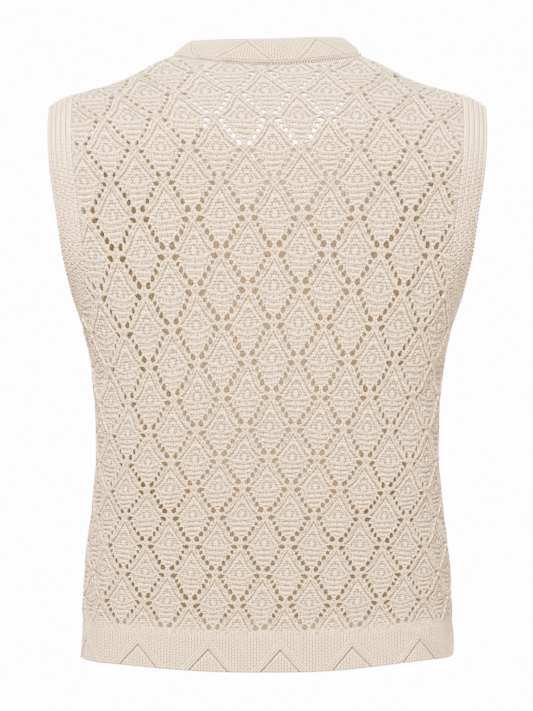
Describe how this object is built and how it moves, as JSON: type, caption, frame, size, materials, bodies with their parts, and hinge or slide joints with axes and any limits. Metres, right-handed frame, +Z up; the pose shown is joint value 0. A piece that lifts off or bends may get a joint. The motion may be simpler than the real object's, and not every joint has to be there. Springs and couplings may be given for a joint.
{
  "type": "sleeveless knitted vest",
  "caption": "Sleeveless openwork knitted vest, hollow as worn, with diamond lace panels, a ribbed neckband, ribbed armbands and a zigzag welt.",
  "frame": {"origin": "middle of the neck opening, level with the neck ends of the shoulder seams, where the wearer's shoulders hold the vest up", "axes": "+X across the vest towards the right of someone behind the wearer, -Y the way the back faces, +Z up from hem to neck"},
  "size_m": [0.394, 0.2209, 0.5601],
  "materials": {
    "openwork_knit": "matt combed cotton yarn, openwork diamond knit, ecru",
    "fine_rib": "matt combed cotton yarn, fine rib, ecru",
    "welt_rib": "matt combed cotton yarn, fine rib with raised zigzag, ecru"
  },
  "bodies": {
    "root": {"back_panel": "openwork_knit", "front_panel": "openwork_knit", "hem_welt_back": "welt_rib", "hem_welt_front": "welt_rib", "neckband": "fine_rib", "armband_left": "fine_rib", "armband_right": "fine_rib"}
  },
  "joints": []
}
